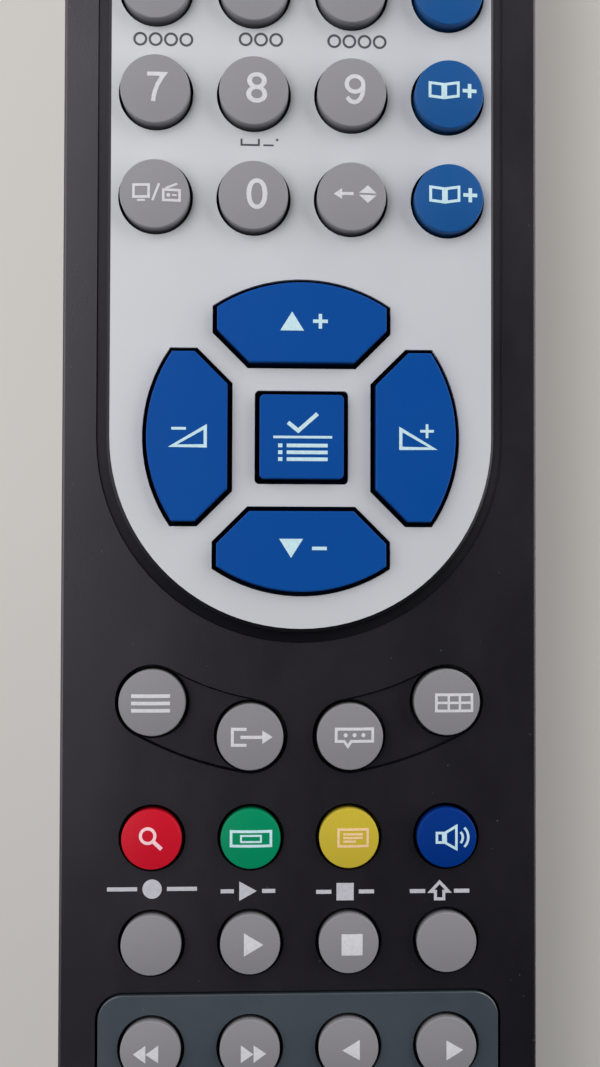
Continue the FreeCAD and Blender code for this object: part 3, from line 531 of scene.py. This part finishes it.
def cross(size, width, cx=0.0, cy=0.0):
    """A plus turned by an eighth of a turn."""
    turned = []
    for x, y in plus(size * 1.3, width)[0]:
        turned.append(((x - y) * math.sqrt(0.5) + cx, (x + y) * math.sqrt(0.5) + cy))
    return [turned]


def triangle(width, height, way):
    """A filled triangle that points up, down, left or right."""
    points = {"right": [(-width / 2, -height / 2), (width / 2, 0), (-width / 2, height / 2)],
              "left": [(width / 2, height / 2), (-width / 2, 0), (width / 2, -height / 2)],
              "up": [(-width / 2, -height / 2), (width / 2, -height / 2), (0, height / 2)],
              "down": [(-width / 2, height / 2), (0, -height / 2), (width / 2, height / 2)]}[way]
    return [points]


def numeral(text, width, height, bolder=0.003):
    """Plain digits in Blender's own typeface, scaled to a box and made a little bolder."""
    curve = bpy.data.curves.new("numeral", "FONT")
    curve.body = text
    curve.resolution_u = 6
    curve.offset = bolder
    helper = bpy.data.objects.new("numeral", curve)
    bpy.context.scene.collection.objects.link(helper)
    graph = bpy.context.evaluated_depsgraph_get()
    mesh = bpy.data.meshes.new_from_object(helper.evaluated_get(graph))
    points = [vertex.co for vertex in mesh.vertices]
    low = Vector((min(p.x for p in points), min(p.y for p in points)))
    high = Vector((max(p.x for p in points), max(p.y for p in points)))
    middle, size = (low + high) / 2, high - low
    placed = [((point.x - middle.x) * width / size.x, (point.y - middle.y) * height / size.y)
              for point in points]
    faces = [[placed[i] for i in polygon.vertices] for polygon in mesh.polygons]
    bpy.data.meshes.remove(mesh)
    bpy.data.objects.remove(helper)
    bpy.data.curves.remove(curve)
    return faces


LIFT = 0.02  # a mark's top over the surface
SUNK = 0.03  # a mark's underside below it
WELD = 0.002  # corners nearer than this become one
LONGEST_EDGE = 0.55  # longer ones are cut, so that a mark follows a domed key
CUTS_AT_MOST = 6


def print_mark(name, faces, at, level, material, body):
    """Lays a mark on a surface as a thin closed layer. level(x, y) is the surface's height."""
    mesh = bmesh.new()
    for face in faces:
        corners = [mesh.verts.new((x + at[0], y + at[1], 0.0)) for x, y in face]
        mesh.faces.new(corners)
    bmesh.ops.remove_doubles(mesh, verts=mesh.verts, dist=WELD)
    bmesh.ops.triangulate(mesh, faces=mesh.faces)
    for _ in range(CUTS_AT_MOST):
        long_edges = [edge for edge in mesh.edges if edge.calc_length() > LONGEST_EDGE]
        if not long_edges:
            break
        bmesh.ops.subdivide_edges(mesh, edges=long_edges, cuts=1)
        bmesh.ops.triangulate(mesh, faces=[face for face in mesh.faces if len(face.verts) > 3])
    bmesh.ops.recalc_face_normals(mesh, faces=mesh.faces)
    if sum(face.normal.z for face in mesh.faces) < 0:
        bmesh.ops.reverse_faces(mesh, faces=mesh.faces)
    for vertex in mesh.verts:
        vertex.co.z = level(vertex.co.x, vertex.co.y) - SUNK
    raised = bmesh.ops.extrude_face_region(mesh, geom=list(mesh.faces), use_keep_orig=True)
    for item in raised["geom"]:
        if isinstance(item, bmesh.types.BMVert):
            item.co.z += SUNK + LIFT
    bmesh.ops.recalc_face_normals(mesh, faces=mesh.faces)
    bmesh.ops.scale(mesh, vec=(MM, MM, MM), verts=mesh.verts)
    data = bpy.data.meshes.new(name)
    mesh.to_mesh(data)
    mesh.free()
    data.materials.append(material)
    piece = bpy.data.objects.new(name, data)
    bpy.context.scene.collection.objects.link(piece)
    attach(piece, body)


def middle_of(node):
    """(x, y) of a node's middle and its top, in millimetres."""
    low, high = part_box(node)
    return (low.x + high.x) / 2 / MM, (low.y + high.y) / 2 / MM, high.z / MM


# Round keys, as in the CAD: the rounding of the cap's edge, the rise of its dome, and its radius
KEY_EDGE = 0.15
KEY_DOME = 0.28
CAP_RADIUS = {"number": 3.64, "menu": 3.52, "small": 3.17}


def dome_level(cx, cy, crown, cap):
    """The height of a round key's domed top."""
    flat = cap - KEY_EDGE
    sphere = (flat * flat + KEY_DOME * KEY_DOME) / (2 * KEY_DOME)

    def level(x, y):
        out = min(math.hypot(x - cx, y - cy), flat)
        return crown - sphere + math.sqrt(sphere * sphere - out * out)

    return level


def flat_level(height):
    """A flat surface's height, for print_mark."""
    return lambda x, y: height


# ---------------------------------------------------------------- symbols

DIGIT = (2.2, 3.24)
DIGIT_STROKE = 0.44


def seven():
    path = [(-1.02, 1.33), (0.76, 1.33), (0.45, 0.88), (0.09, 0.24), (-0.17, -0.43),
            (-0.32, -1.05), (-0.38, -1.55)]
    return stroke(path, DIGIT_STROKE)


def nine():
    bowl = [(0.87 * math.cos(turn), 0.56 + 0.83 * math.sin(turn))
            for turn in [math.radians(step * 10) for step in range(36)]]
    tail = [(0.87, 0.5), (0.87, 0.1), (0.8, -0.45), (0.6, -0.95), (0.3, -1.26), (-0.05, -1.38),
            (-0.45, -1.27), (-0.84, -0.86)]
    return stroke(bowl, DIGIT_STROKE, True) + stroke(tail, DIGIT_STROKE)


def six():
    """A nine turned round."""
    return [[(-x, -y) for x, y in face] for face in nine()]


def speaker(width=0.24):
    """A loudspeaker's outline, 2.3 wide, drawn with strokes of that width."""
    magnet = [(-1.05, -0.5), (-0.38, -0.5), (-0.38, 0.5), (-1.05, 0.5)]
    cone = [(-0.12, -0.55), (1.03, -1.2), (1.03, 1.2), (-0.12, 0.55)]
    return stroke(magnet, width, True) + stroke(cone, width, True)


def screen_and_radio():
    """A television, a slash and a radio with its aerial."""
    faces = frame_box(-2.38, -0.52, -0.8, 0.74, 0.27) + box(-2.0, -0.97, -1.18, -0.76)
    faces += stroke([(-0.4, -0.9), (0.28, 0.9)], 0.24)
    faces += frame_box(0.72, -0.84, 2.4, 0.24, 0.27) + stroke([(0.95, 0.4), (2.15, 0.92)], 0.22)
    return faces + disc(1.24, -0.3, 0.2) + box(1.62, -0.38, 2.1, -0.2)


def back_and_steps():
    """An arrow to the left, and one step up over one step down."""
    faces = shape((-2.28, 0), (-1.4, -0.58), (-1.4, 0.58)) + box(-1.4, -0.16, -0.2, 0.16)
    faces += moved(triangle(1.9, 0.84, "up"), 1.3, 0.52)
    return faces + moved(triangle(1.9, 0.84, "down"), 1.3, -0.52)


def book_and_plus():
    left = stroke([(-2.42, -0.6), (-1.08, -0.8), (-1.08, 0.62), (-2.42, 0.82)], 0.29, True)
    right = stroke([(-0.78, -0.8), (0.56, -0.6), (0.56, 0.82), (-0.78, 0.62)], 0.29, True)
    return left + right + plus(1.5, 0.38, 1.78, 0.0)


def tick_mark():
    return stroke([(-1.5, 0.02), (-0.42, -0.85), (1.6, 0.95)], 0.42)


def list_rows():
    faces = []
    for row in (-0.72, 0.0, 0.72):
        faces += box(-2.6, row - 0.2, -2.15, row + 0.2) + box(-1.7, row - 0.19, 2.6, row + 0.19)
    return faces


def bars(width, gap, thick, count=3):
    faces = []
    for row in range(count):
        level = (row - (count - 1) / 2) * gap
        faces += box(-width / 2, level - thick / 2, width / 2, level + thick / 2)
    return faces


def way_out():
    """An arrow that leaves a frame."""
    faces = stroke([(-0.55, 0.84), (-2.05, 0.84), (-2.05, -0.84), (-0.55, -0.84)], 0.32)
    return faces + box(-1.2, -0.17, 1.1, 0.17) + shape((1.1, -0.72), (2.2, 0), (1.1, 0.72))


def speech_bubble():
    outline = [(-1.95, -0.42), (-1.1, -0.42), (-0.7, -0.95), (-0.35, -0.42), (1.95, -0.42),
               (1.95, 0.88), (-1.95, 0.88)]
    faces = stroke(outline, 0.3, True)
    for column in (-0.95, 0.0, 0.95):
        faces += disc(column, 0.23, 0.22, 16)
    return faces


def guide_grid():
    faces = frame_box(-1.92, -0.86, 1.92, 0.86, 0.29)
    faces += box(-1.78, -0.13, 1.78, 0.13)
    for column in (-0.6, 0.6):
        faces += box(column - 0.13, -0.72, column + 0.13, -0.13)
        faces += box(column - 0.13, 0.13, column + 0.13, 0.72)
    return faces


def magnifier():
    return ring(-0.3, 0.25, 0.76, 0.32) + stroke([(0.34, -0.37), (1.15, -1.15)], 0.4)


def nested_frames():
    return frame_box(-2.1, -0.76, 2.1, 0.76, 0.28) + frame_box(-1.05, -0.32, 1.05, 0.32, 0.2)


def page_of_lines():
    faces = frame_box(-1.55, -0.88, 1.55, 0.88, 0.26) + box(-1.05, 0.26, 1.05, 0.5)
    return faces + box(-1.05, -0.12, 1.05, 0.12) + box(-1.05, -0.5, 0.3, -0.26)


def speaker_and_waves():
    faces = moved(speaker(0.26), -0.78, 0.0)
    for radius in (0.8, 1.4):
        faces += stroke(arc(0.15, 0.0, radius, -46, 46, 10), 0.26)
    return faces


def double(way):
    """Two triangles in a row."""
    one = triangle(1.32, 1.85, way)
    return moved(one, -0.67, 0.0) + moved(one, 0.67, 0.0)


def star(points=5, outer=1.5, inner=0.62):
    corners = []
    for step in range(points * 2):
        radius = inner if step % 2 else outer
        turn = math.radians(90 + step * 180 / points)
        corners.append((radius * math.cos(turn), radius * math.sin(turn)))
    return [corners]


def power_symbol():
    return stroke(arc(0.0, -0.1, 1.1, 125, 415, 28), 0.3) + box(-0.15, 0.1, 0.15, 1.4)


def muted_speaker():
    return moved(speaker(), -0.85, 0.0) + cross(0.9, 0.24, 1.3, 0.0)


def loop_arrow():
    path = [(0.5, 0.85), (-1.35, 0.85), (-1.35, -0.85), (1.35, -0.85), (1.35, 0.2)]
    return stroke(path, 0.26) + shape((0.5, 0.4), (1.25, 0.85), (0.5, 1.3))


def clock():
    return ring(0, 0, 1.15, 0.24) + stroke([(0.0, 0.72), (0.0, 0.0), (0.55, -0.35)], 0.2)


def bar_and_triangle():
    return box(-1.2, -0.95, -0.85, 0.95) + moved(triangle(1.6, 1.9, "right"), 0.35, 0.0)


def triangle_and(sign, way):
    """A triangle with a plus or a minus at its right."""
    extra = plus(1.55, 0.36, 1.72, 0.0) if sign == "+" else box(0.95, -0.18, 2.5, 0.18)
    return moved(triangle(2.5, 2.0, way), -1.25, 0.0) + extra


PAUSE_BARS = box(-0.85, -1.0, -0.3, 1.0) + box(0.3, -1.0, 0.85, 1.0)

# What each key carries: (mark, where its middle is from the key's middle, its ink, its family).
MARKS = {
    "key_7": (seven(), (0.22, 0.08), INK_WHITE, "number"),
    "key_8": (numeral("8", *DIGIT), (0.31, 0.18), INK_WHITE, "number"),
    "key_9": (nine(), (0.29, 0.18), INK_WHITE, "number"),
    "key_0": (numeral("0", *DIGIT), (0.37, 0.05), INK_WHITE, "number"),
    "key_4": (numeral("4", *DIGIT), (0.3, 0.3), INK_WHITE, "number"),
    "key_5": (numeral("5", *DIGIT), (0.38, 0.3), INK_WHITE, "number"),
    "key_6": (six(), (0.4, 0.3), INK_WHITE, "number"),
    "key_1": (numeral("1", 1.2, 3.24), (0.2, 0.3), INK_WHITE, "number"),
    "key_2": (numeral("2", *DIGIT), (0.3, 0.3), INK_WHITE, "number"),
    "key_3": (numeral("3", *DIGIT), (0.36, 0.3), INK_WHITE, "number"),
    "key_tv_radio": (screen_and_radio(), (0.23, 0.07), INK_WHITE, "number"),
    "key_recall": (back_and_steps(), (0.37, 0.19), INK_WHITE, "number"),
    "key_page_up": (book_and_plus(), (0.32, 0.27), INK_PALE, "number"),
    "key_page_down": (book_and_plus(), (0.4, 0.26), INK_PALE, "number"),
    "key_favourite": (star(), (0.2, 0.2), INK_PALE, "number"),
    "key_zoom": (magnifier() + plus(0.7, 0.18, -0.28, 0.25), (0.2, 0.2), INK_PALE, "number"),
    "key_power": (power_symbol(), (0.1, 0.1), INK_WHITE, "number"),
    "key_mute": (muted_speaker(), (0.1, 0.1), INK_WHITE, "number"),
    "key_menu": (bars(4.1, 0.77, 0.38), (-0.11, -0.01), INK_WHITE, "menu"),
    "key_exit": (way_out(), (0.18, 0.05), INK_WHITE, "menu"),
    "key_info": (speech_bubble(), (0.44, 0.0), INK_WHITE, "menu"),
    "key_guide": (guide_grid(), (0.7, -0.02), INK_WHITE, "menu"),
    "key_red": (magnifier(), (-0.05, 0.22), INK_ROSE, "small"),
    "key_green": (nested_frames(), (0.05, 0.1), INK_PALE, "small"),
    "key_yellow": (page_of_lines(), (0.4, 0.12), INK_PEACH, "small"),
    "key_blue": (speaker_and_waves(), (0.7, 0.08), INK_PALE, "small"),
    "key_play": (triangle(2.05, 2.45, "right"), (0.37, 0.07), INK_WHITE, "small"),
    "key_stop": (box(-1.12, -1.12, 1.12, 1.12), (0.32, -0.04), INK_WHITE, "small"),
    "key_rewind": (double("left"), (-0.45, -0.18), INK_WHITE, "small"),
    "key_forward": (double("right"), (0.4, -0.3), INK_WHITE, "small"),
    "key_previous": (triangle(1.85, 2.15, "left"), (0.24, -0.05), INK_WHITE, "small"),
    "key_next": (triangle(1.8, 2.1, "right"), (0.8, -0.2), INK_WHITE, "small"),
    "key_slow": (bar_and_triangle(), (0.1, -0.1), INK_WHITE, "small"),
    "key_pause": (PAUSE_BARS, (0.1, -0.1), INK_WHITE, "small"),
    "key_repeat": (loop_arrow(), (0.1, -0.2), INK_WHITE, "small"),
    "key_timer": (clock(), (0.1, -0.1), INK_WHITE, "small"),
}
for node, (faces, offset, ink, family) in MARKS.items():
    cx, cy, crown = middle_of(node)
    level = dome_level(cx, cy, crown, CAP_RADIUS[family])
    name = "mark-" + node.removeprefix("key_")
    print_mark(name, faces, (cx + offset[0], cy + offset[1]), level, ink, node)

NAV_X, NAV_Y, NAV_TOP = middle_of("key_ok")
WEDGE = [(-1.62, -1.0), (1.8, -1.0), (1.8, 1.0)]
WEDGE_STROKE = 0.34
FALLING = stroke(WEDGE, WEDGE_STROKE, True)
RISING = stroke([(-x, y) for x, y in WEDGE], WEDGE_STROKE, True)
# name, mark, where its middle is from the centre key's middle, and the key that carries it
NAV_MARKS = [
    ("channel-up", triangle_and("+", "up"), (0.2, 12.16), "key_channel_up"),
    ("channel-down", triangle_and("-", "down"), (0.16, -11.72), "key_channel_down"),
    ("volume-down", FALLING, (-11.9, -0.04), "key_volume_down"),
    ("volume-minus", box(-0.76, -0.14, 0.76, 0.14), (-12.88, 0.78), "key_volume_down"),
    ("volume-up", RISING, (12.23, -0.17), "key_volume_up"),
    ("volume-plus", plus(1.45, 0.28), (13.2, 0.66), "key_volume_up"),
    ("ok-tick", tick_mark(), (0.05, 1.47), "key_ok"),
    ("ok-line", box(-3.09, -0.13, 3.09, 0.13), (0.1, -0.05), "key_ok"),
    ("ok-list", list_rows(), (0.12, -1.65), "key_ok"),
]
for name, faces, offset, node in NAV_MARKS:
    at = (NAV_X + offset[0], NAV_Y + offset[1])
    print_mark("mark-" + name, faces, at, flat_level(NAV_TOP), INK_PALE, node)


def rings(count, pitch, radius, width):
    """A row of small rings."""
    faces = []
    for index in range(count):
        faces += ring((index - (count - 1) / 2) * pitch, 0.0, radius, width, 24)
    return faces


def between_lines(faces, half_symbol, half_label, thick=0.42):
    """A symbol between two short lines."""
    start = half_symbol + 0.55
    right = box(start, -thick / 2, half_label, thick / 2)
    return faces + right + box(-half_label, -thick / 2, -start, thick / 2)


PLATE_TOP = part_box("face_plate")[1].z / MM
SMALL_RING = (1.62, 0.62, 0.23)  # pitch, radius and line width
# name, rings, key below, and how far the label's middle is from that key's middle
PLATE_LABELS = [("seven", 4, "key_7", (0.72, 5.8)), ("eight", 3, "key_8", (0.72, 5.98)),
                ("nine", 4, "key_9", (0.62, 5.98)), ("four", 3, "key_4", (0.72, 6.0)),
                ("five", 3, "key_5", (0.72, 6.0)), ("six", 3, "key_6", (0.72, 6.0)),
                ("two", 3, "key_2", (0.72, 6.0)), ("three", 3, "key_3", (0.72, 6.0))]
for name, count, node, offset in PLATE_LABELS:
    cx, cy, _ = middle_of(node)
    print_mark("label-" + name, rings(count, *SMALL_RING), (cx + offset[0], cy + offset[1]),
               flat_level(PLATE_TOP), INK_DARK, ROOT)
cx, cy, _ = middle_of("key_0")
space_mark = stroke([(-0.92, 0.36), (-0.92, -0.3), (0.92, -0.3), (0.92, 0.36)], 0.2)
space_mark += box(1.4, -0.4, 2.5, -0.22) + disc(2.86, 0.28, 0.13, 12)
print_mark("label-zero", space_mark, (cx - 0.38, cy + 6.05), flat_level(PLATE_TOP), INK_DARK, ROOT)

OPEN_ARROW = [(0, 0.95), (-0.95, -0.05), (-0.45, -0.05), (-0.45, -0.85), (0.45, -0.85),
              (0.45, -0.05), (0.95, -0.05)]
# name, mark, and its middle
FACE_LABELS = [
    ("record", between_lines(disc(0, 0, 1.02), 1.02, 4.75), (-15.65, -31.9)),
    ("play", between_lines(triangle(1.85, 2.05, "right"), 0.95, 2.9), (-5.49, -32.2)),
    ("stop", between_lines(box(-0.92, -0.92, 0.92, 0.92), 0.92, 3.1), (4.87, -32.35)),
    ("shift", between_lines(stroke(OPEN_ARROW, 0.32, True), 1.0, 3.2), (15.02, -32.36)),
]
for name, faces, at in FACE_LABELS:
    print_mark("label-" + name, faces, at, flat_level(FACE), INK_LABEL, ROOT)

# ---------------------------------------------------------------- floor and light

TABLE_REACH = 1.6
TABLE_LEVEL = -0.2 * MM  # just clear of the handset's underside


def table_finish():
    """A pale painted table top, a little darker beside the handset's lower left as a painted
    shadow.
    """
    shader = Shader("floor-pale")
    cloud = shader.noise(9.0, 3.0)
    pale = shader.mix(shader.band(cloud, 0.3, 0.7), srgb(226, 223, 219), srgb(230, 228, 224))
    shade = shader.times(shader.band(shader.axis("X"), -5 * MM, -24 * MM, 0.15, 1.0),
                         shader.band(shader.axis("Y"), 10 * MM, -52 * MM, 0.45, 1.0))
    shader.colour(shader.mix(shade, pale, scaled(srgb(228, 226, 222), 0.86)))
    shader.value("Roughness", 0.8)
    shader.value("Specular IOR Level", 0.2)
    return shader.material


floor_mesh = bpy.data.meshes.new("floor")
corners = [(-TABLE_REACH, -TABLE_REACH), (TABLE_REACH, -TABLE_REACH), (TABLE_REACH, TABLE_REACH),
           (-TABLE_REACH, TABLE_REACH)]
floor_mesh.from_pydata([(x, y, TABLE_LEVEL) for x, y in corners], [], [(0, 1, 2, 3)])
floor_mesh.materials.append(table_finish())
floor = bpy.data.objects.new("floor", floor_mesh)
bpy.context.scene.collection.objects.link(floor)


def area_lamp(name, at, size, watts, colour):
    """A soft rectangular light that faces the handset."""
    data = bpy.data.lights.new(name, "AREA")
    data.shape = "RECTANGLE"
    data.size, data.size_y = size
    data.energy = watts
    data.color = colour
    lamp = bpy.data.objects.new(name, data)
    lamp.location = at
    lamp.rotation_euler = (-Vector(at)).to_track_quat("-Z", "Y").to_euler()
    lamp.visible_camera = False
    bpy.context.scene.collection.objects.link(lamp)


area_lamp("window", (-0.372, 0.148, 0.372), (0.84, 0.54), 4.4, (1.0, 0.99, 0.98))
area_lamp("wall", (0.50, 0.20, 0.22), (0.9, 0.36), 3.8, (1.0, 0.985, 0.96))

world = bpy.data.worlds.new("room")
world.use_nodes = True
sky = world.node_tree.nodes["Background"]
sky.inputs["Color"].default_value = (0.94, 0.96, 1.0, 1.0)
sky.inputs["Strength"].default_value = 0.045
bpy.context.scene.world = world
bpy.context.scene.view_settings.view_transform = "Standard"
